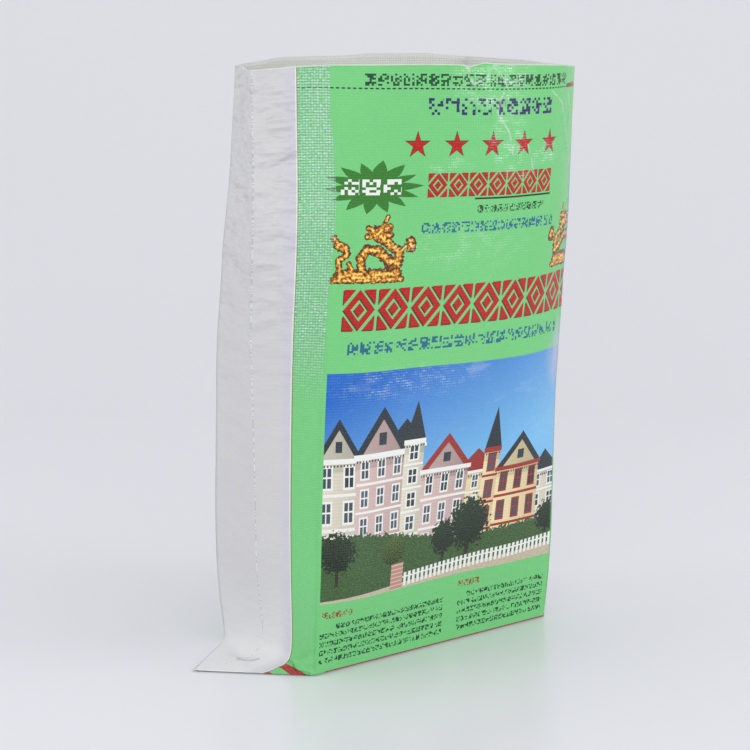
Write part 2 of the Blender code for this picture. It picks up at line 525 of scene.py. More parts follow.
def fabric_relief(distance, height, ripple_height):
    """How far the fabric stands out from its smooth surface at a fabric place."""
    around = signed_distance(distance)

    def grain(across, up, seed):
        return noise.noise(Vector((around / across, height / up, seed)))

    near_mouth = window(height, *MOUTH_STRETCH)
    relief = grain(0.055, 0.080, 3.1) * (BOW_HEIGHT + BOW_HEIGHT * near_mouth)
    relief += grain(0.017, 0.021, 7.7) * DIMPLE_HEIGHT
    on_side = window(around, *RIPPLES_ACROSS) * window(height, *RIPPLES_UP)
    if on_side:
        turns = height / RIPPLE_PITCH + 1.2 * grain(0.03, 0.05, 1.3) + around / 0.11
        relief += ripple_height * on_side * sin(2 * pi * turns)
    relief += fold_crest(distance, height) * window(height, *CREST_STRETCH)
    relief += crease_relief(Vector((around, height)))
    if not EARS_PLAIN_BEYOND[0] <= around <= EARS_PLAIN_BEYOND[1]:
        relief *= window(height, *STRETCH_OVER_EARS)
    return relief


def add_piece(name, work, materials):
    mesh = bpy.data.meshes.new(name)
    work.to_mesh(mesh)
    work.free()
    mesh.shade_smooth()
    for material in materials:
        mesh.materials.append(material)
    piece = bpy.data.objects.new(name, mesh)
    bpy.context.scene.collection.objects.link(piece)
    return piece


def thicken(piece, thickness, inner_material=0, rim_material=0):
    skin = piece.modifiers.new("fabric_thickness", "SOLIDIFY")
    skin.thickness = thickness
    skin.offset = -1.0
    skin.material_offset = inner_material
    skin.material_offset_rim = rim_material


def places_of_grid(work):
    """Distance, fabric height and place in space of each vert of the flat grid."""
    columns = fabric_columns()
    places = {}
    for vert in work.verts:
        column = round((vert.co.x + 0.5) * COLUMNS)
        row = round((vert.co.y + 0.5) * ROWS)
        distance, heights, points = columns[column]
        places[vert] = (distance, heights[row], points[row])
    return places


def map_fabric(work, places, fabric_layer, rim_layer):
    """Writes the fabric places to both UV maps, and gives each face its part of the print."""
    for face in work.faces:
        for loop in face.loops:
            distance, height, _ = places[loop.vert]
            loop[fabric_layer].uv = (distance, height)
            rim_height = STANDING_HEIGHT + rim_rise(distance)
            loop[rim_layer].uv = (distance, rim_height - height)
        height = sum(places[vert][1] for vert in face.verts) / 4
        face.material_index = sum(height < limit for limit in PRINT_LIMITS)


def map_flat(faces, fabric_layer):
    """Writes the place on the floor to the UV map of flat faces."""
    for face in faces:
        for loop in face.loops:
            loop[fabric_layer].uv = (loop.vert.co.x, loop.vert.co.y)


def raise_relief(work, places, fabric):
    """Moves the fabric out by its relief, and keeps the ears' upper layer off the bottom."""
    for vert in work.verts:
        distance, height, _ = places[vert]
        relief = fabric_relief(distance, height, fabric.ripple_height)
        from_edge = height + ear_depth(distance)
        vert.co += vert.normal * relief * min(from_edge / RELIEF_FADE, 1.0)
        layers = EAR_LAYERS * fabric.fabric_thickness * min(from_edge / EAR_EDGE, 1.0)
        vert.co.z = max(vert.co.z, BOTTOM_LEVEL + layers)


def close_bottom(work, fabric_layer):
    """Closes the tube below with flat faces."""
    foot = [e for e in work.edges if e.is_boundary and e.verts[0].co.z < FOOT_HEIGHT]
    bottom = bmesh.ops.contextual_create(work, geom=foot)["faces"]
    for face in bottom:
        face.material_index = BOTTOM_SLOT
    map_flat(bottom, fabric_layer)
    bmesh.ops.triangulate(work, faces=bottom)


def make_sleeve(fabric, materials):
    """The woven tube: a flat grid of cloth, wrapped round, closed below and thickened."""
    work = bmesh.new()
    bmesh.ops.create_grid(work, x_segments=COLUMNS, y_segments=ROWS, size=0.5)
    fabric_layer = work.loops.layers.uv.new(FABRIC_MAP)
    rim_layer = work.loops.layers.uv.new(RIM_MAP)
    places = places_of_grid(work)
    map_fabric(work, places, fabric_layer, rim_layer)
    for vert, (_, _, point) in places.items():
        vert.co = point
    bmesh.ops.remove_doubles(work, verts=work.verts, dist=WELD_DISTANCE)
    bmesh.ops.recalc_face_normals(work, faces=work.faces)
    work.normal_update()
    raise_relief(work, places, fabric)
    close_bottom(work, fabric_layer)
    bmesh.ops.recalc_face_normals(work, faces=work.faces)
    sleeve = add_piece("bag_sleeve", work, materials)
    thicken(sleeve, fabric.fabric_thickness, INSIDE_SLOT, EDGE_SLOT)
    return sleeve


def round_off(work, geom, reach, segments, affect):
    """Rounds corners or edges off."""
    bmesh.ops.bevel(
        work,
        geom=geom,
        offset=reach,
        segments=segments,
        profile=0.5,
        affect=affect,
        material=-1,
    )


def make_sheet_below(name, outline, level, thickness, material):
    """A flat sheet under the bottom, facing down, with its print or weave on its UV map."""
    work = bmesh.new()
    verts = [work.verts.new((x, y, level)) for x, y in outline]
    bmesh.ops.contextual_create(work, geom=verts)
    round_off(work, list(work.verts), SHEET_CORNER, 3, "VERTICES")
    bmesh.ops.recalc_face_normals(work, faces=work.faces)
    for face in work.faces:
        if face.normal.z > 0.0:
            face.normal_flip()
    fabric_layer = work.loops.layers.uv.new(FABRIC_MAP)
    map_flat(work.faces, fabric_layer)
    piece = add_piece(name, work, [material])
    thicken(piece, thickness)
    return piece


# Shader nodes


def math_method(operation, swapped=False):
    """A method that adds this math node, with its own value first or, if swapped, last."""

    def method(self, *others):
        values = (*others, self) if swapped else (self, *others)
        return self.graph.math(operation, *values)

    return method


class Value:
    """A number that changes over the surface. Arithmetic on it adds nodes."""

    __add__ = math_method("ADD")
    __radd__ = math_method("ADD", swapped=True)
    __sub__ = math_method("SUBTRACT")
    __rsub__ = math_method("SUBTRACT", swapped=True)
    __mul__ = math_method("MULTIPLY")
    __rmul__ = math_method("MULTIPLY", swapped=True)
    __truediv__ = math_method("DIVIDE")
    __mod__ = math_method("FLOORED_MODULO")
    __pow__ = math_method("POWER")
    __lt__ = math_method("LESS_THAN")
    __gt__ = math_method("GREATER_THAN")
    __abs__ = math_method("ABSOLUTE")
    at_least = math_method("MAXIMUM")
    at_most = math_method("MINIMUM")
    floor = math_method("FLOOR")
    fract = math_method("FRACT")
    root = math_method("SQRT")
    sine = math_method("SINE")
    cosine = math_method("COSINE")

    def __init__(self, graph, socket):
        self.graph = graph
        self.socket = socket

    def near(self, middle, reach):
        """1 where the value is within reach of middle, else 0."""
        return self.graph.math("COMPARE", self, middle, reach)


class Graph:
    """Adds nodes to a tree. Its calls take values, sockets, numbers and colours."""

    def __init__(self, tree):
        self.tree = tree

    def add(self, kind, **settings):
        node = self.tree.nodes.new(kind)
        for name, value in settings.items():
            setattr(node, name, value)
        return node

    def plug(self, socket, value):
        if isinstance(value, Value):
            value = value.socket
        if isinstance(value, bpy.types.NodeSocket):
            self.tree.links.new(value, socket)
        elif socket.type == "RGBA":
            socket.default_value = (*tuple(value)[:3], 1.0)
        else:
            socket.default_value = value

    def math(self, operation, *values):
        node = self.add("ShaderNodeMath", operation=operation)
        for socket, value in zip(node.inputs, values):
            self.plug(socket, value)
        return Value(self, node.outputs[0])

    def mix(self, share, below, above, clamped=True):
        """Colour that goes from below to above as share goes from 0 to 1."""
        node = self.add("ShaderNodeMix", data_type="RGBA", clamp_factor=clamped)
        for index, value in ((0, share), (6, below), (7, above)):
            self.plug(node.inputs[index], value)
        return node.outputs[2]

    def shade(self, color, factor):
        """Colour times a factor."""
        return self.mix(factor, (0.0, 0.0, 0.0), color, clamped=False)

    def cloud(self, across, up, detail=2.0, offset=0.0):
        """Soft noise from 0 to 1, with this many grains a metre across and up the fabric."""
        fabric_map = self.add("ShaderNodeUVMap", uv_map=FABRIC_MAP)
        mapping = self.add("ShaderNodeMapping")
        self.plug(mapping.inputs["Vector"], fabric_map.outputs[0])
        mapping.inputs["Location"].default_value = (0.0, 0.0, offset)
        mapping.inputs["Scale"].default_value = (across, up, 1.0)
        node = self.add("ShaderNodeTexNoise")
        self.plug(node.inputs["Vector"], mapping.outputs[0])
        node.inputs["Scale"].default_value = 1.0
        node.inputs["Detail"].default_value = detail
        return Value(self, node.outputs["Fac"])

    def place_on(self, map_name):
        """Both coordinates of a place on one of the mesh's UV maps."""
        uv_map = self.add("ShaderNodeUVMap", uv_map=map_name)
        split = self.add("ShaderNodeSeparateXYZ")
        self.plug(split.inputs[0], uv_map.outputs[0])
        return Value(self, split.outputs[0]), Value(self, split.outputs[1])

    def speck(self, number):
        """One even random number from 0 to 1 for each number."""
        node = self.add("ShaderNodeTexWhiteNoise", noise_dimensions="1D")
        self.plug(node.inputs["W"], number)
        return Value(self, node.outputs["Value"])

    def taken(self, socket):
        """A socket to go on from: a colour as it is, and a number as a Value."""
        return socket if socket.type == "RGBA" else Value(self, socket)

    def place(self, group, **values):
        """A shader group with its values; gives its output."""
        node = self.add("ShaderNodeGroup", node_tree=group.tree())
        for name, value in values.items():
            self.plug(node.inputs[socket_label(name)], value)
        return self.taken(node.outputs[0])


# Inputs of shader groups that take a colour
COLOR_INPUTS = ("below", "wall", "roof", "trim", "leaf", "gold")


def socket_label(name):
    return name.replace("_", " ").capitalize()


class ShaderGroup:
    """A function as a shader node group, which is built once, when it is first placed.

    The function's arguments after the graph are the inputs, and it returns the output.
    """

    def __init__(self, output, body):
        self.output = output
        self.body = body
        self.names = body.__code__.co_varnames[1 : body.__code__.co_argcount]

    def tree(self):
        return bpy.data.node_groups.get(self.body.__name__) or self.build()

    def build(self):
        tree = bpy.data.node_groups.new(self.body.__name__, "ShaderNodeTree")
        sides = [(name, "INPUT", name in COLOR_INPUTS) for name in self.names]
        sides.append((self.output, "OUTPUT", self.output == "color"))
        for name, side, is_color in sides:
            kind = "NodeSocketColor" if is_color else "NodeSocketFloat"
            tree.interface.new_socket(socket_label(name), in_out=side, socket_type=kind)
        graph = Graph(tree)
        source = graph.add("NodeGroupInput")
        result = graph.add("NodeGroupOutput")
        inputs = [graph.taken(socket) for socket in source.outputs[: len(self.names)]]
        graph.plug(result.inputs[0], self.body(graph, *inputs))
        return tree


def shader_group(output):
    """Decorator that makes a function a shader group with this one output."""
    return lambda body: ShaderGroup(output, body)


@shader_group("height")
def weave_height(graph, x, y, tape):
    """Plain weave of flat tapes: height from 0 to 1, each tape over and under in turn."""
    a, b = x / tape, y / tape
    over = (a.floor() + b.floor()) % 2.0
    across = a.fract() - 0.5
    along = b.fract() - 0.5

    def tape_top(cross, run):
        crown = 1.0 - (abs(cross) * 2.0) ** 4.0
        return crown * (run * pi).cosine()

    warp = tape_top(across, along)
    weft = tape_top(along, across)
    key = a.floor() + b.floor() * 397.0
    uneven = graph.speck(key) * 0.7 + 0.55
    return (warp * over * 0.75 + weft * (1.0 - over)) * uneven


@shader_group("height")
def film_wrinkles(graph):
    """Fine uneven ripples of the film, longer round the tube than up it."""
    long = graph.cloud(60.0, 150.0, 3.0)
    fine = graph.cloud(420.0, 560.0)
    return long * 0.7 + fine * 0.3


@shader_group("share")
def tape_flecks(graph, weave, y):
    """Short uneven flecks in rows, where light catches the tapes: about 0 to 1."""
    grain = (graph.cloud(300.0, 900.0, 1.0, 6.0) - 0.5) * 3.4
    rows = 1.0 - abs((y / TAPE).fract() - 0.5) * 4.0
    return grain + weave * 0.6 + rows * 0.5 + 0.16


@shader_group("height")
def slack_swirls(graph, y):
    """Broad soft swirls of the slack film on the white side, seen near the mouth."""
    swirls = graph.cloud(17.0, 34.0, 3.0, 2.0)
    fade = ((y - 0.22) * 4.0).at_least(0.15).at_most(1.0)
    return swirls * fade


@shader_group("height")
def film_creases(graph, x, y):
    """How far the sharp creases near the mouth stand out, from 0 to 1."""
    height = deepest_stroke(graph, x, y, FILM_CREASES)
    broken = graph.cloud(150.0, 150.0, 3.0, 11.0) * 5.0 - 1.9
    broken = broken.at_least(0.15).at_most(1.2)
    return height.at_least(0.0) * broken


@shader_group("height")
def ear_creases(graph, x, y):
    """How far the curved creases of the ear stand out, from 0 to 1."""
    height = deepest_stroke(graph, x, y, EAR_CREASES)
    return height.at_least(0.0)


@shader_group("share")
def worn_share(graph, x, y):
    """Painted sheen, where light catches the tape crowns: strong on the strip by the left fold,
    fading lower down, and faint everywhere else; from 0 to 1.
    """
    fade = ((y - 0.25) * 12.0).at_least(0.12).at_most(1.0)
    wander = 0.0045 - abs(y - 0.45) * 0.05
    strip = x.near(GIRTH - 0.0150, 0.0152).at_least(x < wander) * fade
    uneven = graph.cloud(120.0, 60.0, 2.0, 3.0) * 0.9 + 0.4
    return (strip * uneven).at_least(0.045)


# Places of the front where the tapes glint: middle and reach, across and up, and strength
GLINTS = (
    ((0.162, 0.558), (0.055, 0.030), 0.85),
    ((0.180, 0.506), (0.026, 0.044), 0.75),
    ((0.196, 0.478), (0.030, 0.014), 0.65),
    ((0.236, 0.489), (0.026, 0.014), 0.75),
    ((0.116, 0.481), (0.030, 0.010), 0.45),
    ((0.140, 0.402), (0.090, 0.026), 0.30),
    ((0.095, 0.277), (0.110, 0.020), 0.34),
)


@shader_group("share")
def glint_share(graph, x, y):
    """Where the tapes catch the light through the slack film, from 0 to 1."""
    spots = x * 0.0
    for middle, reach, strength in GLINTS:
        across, up = (x - middle[0]) / reach[0], (y - middle[1]) / reach[1]
        spot = (1.0 - across * across - up * up) * strength
        spots = spots.at_least(spot)
    broken = (graph.cloud(70.0, 110.0, 3.0, 9.0) - 0.44) * 5.0
    share = (spots * broken.at_least(0.12)).at_least(0.0)
    return share.at_most(1.0)


@shader_group("mask")
def star_mask(graph, x, y, radius):
    """A five-pointed star of the given radius round the middle, one point up."""
    turn = graph.math("ARCTAN2", x, y) + pi / 5
    sector = 2 * pi / 5
    folded = abs(turn % sector - pi / 5)
    length = (x * x + y * y).root() / radius
    edge = length * folded.cosine() * sin(pi / 10) + length * folded.sine() * cos(pi / 10)
    return edge < sin(pi / 10)


@shader_group("mask")
def burst_mask(graph, x, y, half_width, half_height):
    """A flat oval burst with many points."""
    a, b = x / half_width, y / half_height
    turn = graph.math("ARCTAN2", b, a) * (14 / (2 * pi)) + 0.35
    point = abs(turn.fract() - 0.5) * 2.0
    reach = graph.speck(turn.floor()) * 0.10 + 0.90
    length = (a * a + b * b).root()
    return length < reach - point**0.9 * 0.36


@shader_group("mask")
def marks_mask(graph, x, y, left, right, bottom, top, seed, tiles):
    """A row of square marks, each a small random mosaic."""
    pitch = (top - bottom) * 1.08
    cells = (x - left) / pitch
    row = (y - bottom) / (top - bottom)
    inside = row.near(0.5, 0.5) * (x > left) * (x < right)
    across = cells.fract()
    body = across.near(0.43, 0.43)
    tile_x = (across * tiles).floor()
    tile_y = (row * tiles).floor()
    cell = cells.floor()
    key = cell * 7.0 + tile_x + tile_y * 401.0 + seed * 3001.0
    return inside * body * (graph.speck(key) > 0.50)


@shader_group("mask")
def lozenge_mask(graph, x, y, left, right, bottom, top, pitch):
    """A row of upright lozenges with a small lozenge left open in each."""
    inside = (x > left) * (x < right)
    across = abs(((x - left) / pitch).fract() - 0.5)
    row = (y - bottom) / (top - bottom)
    up = abs(row - 0.5)
    reach = (across * 1.12 + up) * 2.0
    ring = (reach < 1.0) * (reach > 0.56)
    corners = (reach > 1.26) * (across < 0.45) * (up < 0.5)
    heart = (reach < 0.34).at_least(corners)
    return inside * ring.at_least(heart)


@shader_group("color")
def house_color(
    graph, x, y, left, width, base, eaves, rise, gable, across, floors, below, wall, roof, trim
):
    """A house front over the colour below it: walls, roof and rows of windows."""
    s = (x - left) / width
    t = (y - base) / eaves
    aside = abs(s - 0.5) * 2.0
    climb = (y - base - eaves) / rise
    slope = 1.0 - aside / 1.12
    over_eaves = climb > 0.0
    under_roof = climb < slope
    walls = s.near(0.5, 0.5) * t.near(0.5, 0.5)
    side_light = 1.06 - s * 0.26 - (t > 0.90) * 0.22
    boards = 1.0 - ((y / 0.0032).fract() < 0.22) * 0.10
    color = graph.mix(walls, below, graph.shade(wall, side_light * boards))
    gable_wall = over_eaves * under_roof
    color = graph.mix(gable_wall, color, graph.shade(wall, side_light * 0.93))
    tiles = 1.0 - ((y / 0.0026).fract() < 0.35) * 0.30
    barge = climb > slope - 0.26
    roof_mask = gable_wall * barge.at_least(1.0 - gable)
    color = graph.mix(roof_mask, color, graph.shade(roof, tiles))
    attic = climb.near(0.34, 0.13) * s.near(0.5, 0.075) * gable
    color = graph.mix(attic, color, (0.03, 0.04, 0.06))
    cell_x = (s * across).fract()
    cell_y = (t * floors).fract()
    ledge = walls * (cell_y < 0.09)
    color = graph.mix(ledge, color, trim)
    framed = walls * cell_x.near(0.5, 0.27) * cell_y.near(0.54, 0.35)
    color = graph.mix(framed, color, trim)
    key = (s * across).floor() + (t * floors).floor() * 11.0 + left * 900.0
    glow = graph.speck(key) * 0.10 + 0.03
    glass = walls * cell_x.near(0.5, 0.19) * cell_y.near(0.54, 0.28)
    pane = graph.shade((0.75, 0.95, 1.30), glow)
    color = graph.mix(glass, color, pane)
    mullion = glass * cell_x.near(0.5, 0.025).at_least(cell_y.near(0.56, 0.025))
    color = graph.mix(mullion, color, trim)
    eaves_line = s.near(0.5, 0.55) * climb.near(0.0, 0.06)
    color = graph.mix(eaves_line, color, trim)
    blocks = (x / 0.0034).fract() < 0.45
    dentils = s.near(0.5, 0.52) * (y - base - eaves).near(-0.0042, 0.0010) * blocks
    return graph.mix(dentils, color, (0.04, 0.035, 0.03))


@shader_group("color")
def tree_color(graph, x, y, middle, base, radius, rough, below, leaf):
    """A leafy tree over the colour below it."""
    across = (x - middle) / radius
    up = (y - base) / radius
    trunk = across.near(0.0, 0.09) * up.near(0.4, 0.6)
    color = graph.mix(trunk, below, (0.035, 0.022, 0.015))
    lift = up - 1.45
    length = (across * across + lift * lift).root()
    crown = length < rough * 1.6 + 0.14
    lit = graph.cloud(700.0, 700.0, 2.0, 4.0) * 3.2 + lift * 0.4
    shade = (lit - 0.95).at_least(0.20)
    return graph.mix(crown, color, graph.shade(leaf, shade))


@shader_group("depth")
def stroke_depth(graph, x, y, start_x, start_y, run, climb, radius):
    """How deep a place is inside one thick stroke: 1 on its line, 0 at its edge."""
    a, b = x - start_x, y - start_y
    along = (a * run + b * climb) / (run * run + climb * climb)
    share = along.at_least(0.0).at_most(1.0)
    off_x, off_y = a - share * run, b - share * climb
    away = (off_x * off_x + off_y * off_y).root()
    return 1.0 - away / radius


# Strokes of the gold ornament in millimetres from its lower left: start, end and radius
ORNAMENT = (
    ((3, 2), (72, 2), 3.1),
    ((9, 6), (30, 8), 5.6),
    ((40, 7), (66, 7), 6.0),
    ((22, 4), (48, 5), 4.3),
    ((9, 12), (8, 20), 3.4),
    ((8, 20), (16, 26), 3.3),
    ((16, 26), (14, 31), 3.1),
    ((14, 31), (7, 34), 4.6),
    ((7, 34), (3, 40), 3.3),
    ((31, 10), (29, 22), 4.5),
    ((29, 22), (35, 30), 4.6),
    ((35, 30), (46, 29), 4.8),
    ((46, 29), (58, 19), 5.3),
    ((58, 19), (66, 17), 5.8),
    ((67, 17), (68, 27), 5.2),
    ((68, 27), (58, 34), 4.8),
    ((58, 34), (51, 40), 5.0),
    ((52, 41), (44, 45), 7.1),
    ((44, 44), (35, 42), 3.1),
    ((44, 47), (36, 50), 2.9),
    ((48, 48), (57, 50), 4.0),
    ((50, 42), (59, 43), 2.9),
    ((50, 50), (55, 60), 2.4),
    ((66, 25), (74, 32), 2.4),
    ((79, 36), (79.5, 31.4), 5.4),
    ((22, 10), (18, 17), 2.6),
)


def deepest_stroke(graph, x, y, strokes):
    """The greatest depth of a place in any of the strokes, which are in millimetres."""
    depth = None
    for start, end, radius in strokes:
        stroke = graph.place(
            stroke_depth,
            x=x,
            y=y,
            start_x=start[0] / 1000,
            start_y=start[1] / 1000,
            run=(end[0] - start[0]) / 1000,
            climb=(end[1] - start[1]) / 1000,
            radius=radius / 1000,
        )
        depth = stroke if depth is None else depth.at_least(stroke)
    return depth


@shader_group("color")
def ornament_color(graph, x, y, below, gold):
    """A gold figure over the colour below it: a coiled river dragon on waves."""
    depth = deepest_stroke(graph, x, y, ORNAMENT)
    scales = graph.cloud(360.0, 360.0, 3.0)
    edge = depth + (scales - 0.5) * 1.3
    dark = graph.mix(edge > -0.02, below, tone(70, 26, 8))
    carved = graph.cloud(360.0, 360.0, 4.0, 5.0) * 6.0 + depth * 1.6 - 3.35
    body = graph.mix(carved, tone(92, 32, 4), gold)
    bright = graph.mix(carved * 1.2 - 0.9, body, tone(255, 222, 110))
    return graph.mix(edge > 0.12, dark, bright)


class Film:
    """The printed film's colour at a fabric place. Each call prints over what is there."""

    def __init__(self, graph, color, x, y):
        self.graph = graph
        self.color = color
        self.x = x
        self.y = y

    def ink(self, mask, color):
        self.color = self.graph.mix(mask, self.color, color)

    def bar(self, area, color):
        """A plain rectangle: left, right, bottom and top."""
        self.ink(inside_area(self.x, self.y, area), color)

    def row(self, mask, area, color, x, **settings):
        """A row of marks or lozenges that fills an area."""
        edges = dict(zip(("left", "right", "bottom", "top"), area))
        self.ink(self.graph.place(mask, x=x, y=self.y, **edges, **settings), color)

    def marks(self, area, color, seed, tiles=6.0, scale=1.0):
        """A row of mosaic marks, this many tiles wide and high. A scale under 1 widens them."""
        left, right, *heights = area
        x = self.x if scale == 1.0 else self.x * scale
        area = (left * scale, right * scale, *heights)
        self.row(marks_mask, area, color, x, seed=seed, tiles=tiles)

    def lozenges(self, area, count, color, dark, shift):
        """A row of lozenges over a darker one, which shows on their lower left."""
        pitch = (area[1] - area[0]) / count
        shifted = tuple(edge - shift for edge in area)
        self.row(lozenge_mask, shifted, dark, self.x, pitch=pitch)
        self.row(lozenge_mask, area, color, self.x, pitch=pitch)


def inside_area(x, y, area):
    """1 inside the left, right, bottom and top of an area, else 0."""
    left, right, bottom, top = area
    across = x.near((left + right) / 2, (right - left) / 2)
    return across * y.near((bottom + top) / 2, (top - bottom) / 2)


# Houses and trees of the picture, in metres from its lower left. A house has this many
# windows across and floors of windows, and a gable or none.
HOUSE_FIELDS = "left width base eaves rise gable across floors wall roof trim".split()
STONE = tone(226, 218, 200)
CREAM = tone(240, 222, 176)
ROSE = tone(216, 186, 182)
WHITE = tone(240, 240, 236)
SLATE = tone(44, 50, 60)
CLAY = tone(162, 48, 42)
HOUSES = (
    (0.066, 0.048, 0.050, 0.092, 0.028, 0, 2, 4, STONE, SLATE, WHITE),
    (0.156, 0.054, 0.040, 0.066, 0.024, 0, 3, 3, CREAM, CLAY, WHITE),
    (0.262, 0.046, 0.030, 0.062, 0.022, 0, 2, 3, STONE, SLATE, WHITE),
    (-0.008, 0.046, 0.036, 0.100, 0.040, 1, 2, 3, STONE, SLATE, WHITE),
    (0.034, 0.058, 0.030, 0.108, 0.046, 1, 3, 4, ROSE, SLATE, WHITE),
    (0.090, 0.024, 0.030, 0.116, 0.040, 0, 1, 5, STONE, SLATE, WHITE),
    (0.114, 0.058, 0.026, 0.088, 0.036, 1, 3, 3, ROSE, CLAY, WHITE),
    (0.192, 0.021, 0.014, 0.112, 0.044, 0, 1, 4, CREAM, SLATE, CLAY),
    (0.212, 0.062, 0.014, 0.090, 0.036, 1, 3, 3, CREAM, SLATE, CLAY),
)
LEAF = tone(84, 104, 48)
DEEP_LEAF = tone(44, 58, 40)
TREE_FIELDS = "middle base radius leaf".split()
TREES = (
    (0.016, 0.020, 0.020, DEEP_LEAF),
    (0.084, 0.020, 0.015, LEAF),
    (0.150, 0.018, 0.018, DEEP_LEAF),
    (0.182, 0.014, 0.027, DEEP_LEAF),
    (0.292, 0.020, 0.016, DEEP_LEAF),
)


def print_picture(film, inks):
    """The picture: a made-up street of houses on a green slope under a clear sky."""
    graph = film.graph
    px, py = film.x - PICTURE[0], film.y - PICTURE[2]
    inside = inside_area(film.x, film.y, PICTURE)
    depth = py * 6.0 - px * 2.4 - 0.15
    sky = graph.mix(depth, tone(128, 194, 240), inks.sky)
    wisps = graph.cloud(14.0, 50.0, 4.0)
    scene = graph.mix((wisps - 0.62) * 2.0, sky, tone(214, 228, 240))
    hill_line = (px * 19.0 + 2.4).sine() * 0.012 + 0.072
    leaves = graph.cloud(300.0, 300.0, 3.0)
    scene = graph.mix(py < hill_line, scene, graph.shade(DEEP_LEAF, leaves * 1.8))
    for house in HOUSES:
        sizes = dict(zip(HOUSE_FIELDS, house))
        scene = graph.place(house_color, x=px, y=py, below=scene, **sizes)
    lawn_line = (px * 24.0 + 0.6).sine() * 0.005 + 0.052 - px * 0.08
    ragged = lawn_line + leaves * 0.020
    grass = graph.cloud(420.0, 620.0, 4.0)
    scene = graph.mix(py < ragged, scene, graph.shade(tone(66, 96, 52), grass * 2.4 - 0.25))
    for tree in TREES:
        sizes = dict(zip(TREE_FIELDS, tree))
        scene = graph.place(tree_color, x=px, y=py, rough=leaves, below=scene, **sizes)
    fence_top = px * 0.04 + 0.012
    path = py < fence_top - 0.010
    gravel = graph.shade(tone(206, 190, 168), grass * 0.9 + 0.5)
    scene = graph.mix(path, scene, gravel)
    pickets = (px / 0.0058).fract().near(0.5, 0.30) * (py < fence_top)
    rail = (fence_top - py).near(0.0045, 0.0008)
    pickets = (pickets * (py > fence_top - 0.014)).at_least(rail)
    scene = graph.mix(pickets * (px > 0.098), scene, WHITE)
    pillar = px.near(0.090, 0.008) * py.near(0.012, 0.0155)
    courses = (py / 0.0042).fract() < 0.2
    brick = graph.mix(courses, tone(196, 142, 130), tone(224, 206, 190))
    scene = graph.mix(pillar, scene, brick)
    film.ink(inside, scene)


DARK_RED = tone(84, 26, 18)
BROWN = tone(120, 40, 18)
RUST = tone(176, 52, 30)
# Areas of the print over the picture, from the rim down: left, right, bottom and top
RIM_MARKS = (0.0320, 0.2700, 0.5540, 0.5650)
BROWN_BAR = (0.2710, 0.2985, 0.5502, 0.5542)
RUST_BAR = (0.2860, 0.2960, 0.5498, 0.5548)
NAVY_MARKS = (0.0916, 0.2410, 0.5275, 0.5430)
BURST_MARKS = (0.0086, 0.0680, 0.4546, 0.4690)
SMALL_LOZENGES = (0.0924, 0.2480, 0.4520, 0.4740)
UNDERLINE = (0.1450, 0.2480, 0.4484, 0.4501)
GREEN_MARKS = (0.1490, 0.2380, 0.4356, 0.4430)
UPPER_BLUE_MARKS = (0.0893, 0.2570, 0.4178, 0.4278)
LARGE_LOZENGES = (0.0135, 0.3315, 0.3300, 0.3680)
LOWER_BLUE_MARKS = (0.0220, 0.2880, 0.3070, 0.3190)
DASH_PITCH = 0.0052
DASH_SHARE = 0.62
DASH_REACH = 0.0007
# Each star is printed dark and then red: height and radius
STARS = ((0.5000, 0.0134), (0.4999, 0.0121))
STAR_START = 0.0615
STAR_PITCH = 0.0396
STAR_COUNT = 5
BURST_MIDDLE = (0.0410, 0.4612)
BURST_WIDTH = 0.1010
BURST_HEIGHT = 0.0524
ORNAMENT_MIDDLE = 0.169
ORNAMENT_FOOT = 0.3745


def print_stars(film, inks):
    """The row of red stars with dark edges."""
    graph, x, y = film.graph, film.x, film.y
    star_x = ((x - STAR_START) / STAR_PITCH).fract() * STAR_PITCH - STAR_PITCH / 2
    row = (x > STAR_START) * (x < STAR_START + STAR_COUNT * STAR_PITCH)
    for (height, radius), color in zip(STARS, (DARK_RED, inks.red)):
        stars = graph.place(star_mask, x=star_x, y=y - height, radius=radius)
        film.ink(stars * row, color)


def print_rows(film, inks):
    """The rows over the picture, from the rim down."""
    graph, x, y = film.graph, film.x, film.y
    film.marks(RIM_MARKS, inks.dark_green, 1.0)
    film.bar(BROWN_BAR, BROWN)
    film.bar(RUST_BAR, RUST)
    dashes = (x / DASH_PITCH).fract() < DASH_SHARE
    film.ink(dashes * y.near(GUIDE_LINE, DASH_REACH), inks.dark_green)
    film.marks(NAVY_MARKS, inks.navy, 2.0)
    print_stars(film, inks)
    burst = graph.place(
        burst_mask,
        x=x - BURST_MIDDLE[0],
        y=y - BURST_MIDDLE[1],
        half_width=BURST_WIDTH / 2,
        half_height=BURST_HEIGHT / 2,
    )
    film.ink(burst, tone(50, 122, 36))
    film.marks(BURST_MARKS, WHITE, 33.0, scale=0.76)
    film.lozenges(SMALL_LOZENGES, 7, inks.red, DARK_RED, shift=0.0005)
    film.bar(UNDERLINE, tone(40, 10, 6))
    film.marks(GREEN_MARKS, inks.dark_green, 3.0)
    film.marks(UPPER_BLUE_MARKS, inks.blue, 4.0)
    film.color = graph.place(
        ornament_color,
        x=ORNAMENT_MIDDLE - abs(x - ORNAMENT_MIDDLE),
        y=y - ORNAMENT_FOOT,
        below=film.color,
        gold=inks.gold,
    )
    film.lozenges(LARGE_LOZENGES, 9, inks.red, DARK_RED, shift=0.0010)
    film.marks(LOWER_BLUE_MARKS, inks.blue, 5.0)


# Columns of small rows under the picture: left and right of the heading, left of the first
# row, and left and right of the others
NOTE_COLUMNS = ((0.006, 0.040, 0.022, 0.004, 0.160), (0.180, 0.208, 0.192, 0.180, 0.298))
NOTE_ROWS = 5
NOTE_HEADING = (0.0560, 0.0628)
NOTE_START = 0.0440
NOTE_PITCH = 0.0086
NOTE_HEIGHT = 0.0054
# Red bands round the foot and a thin line along the floor fold: middle height and reach
BANDS = ((-0.0095, 0.0052), (-0.0310, 0.0050))
FLOOR_LINE = (0.0002, 0.0009)
FLOOR_LINE_START = 0.012


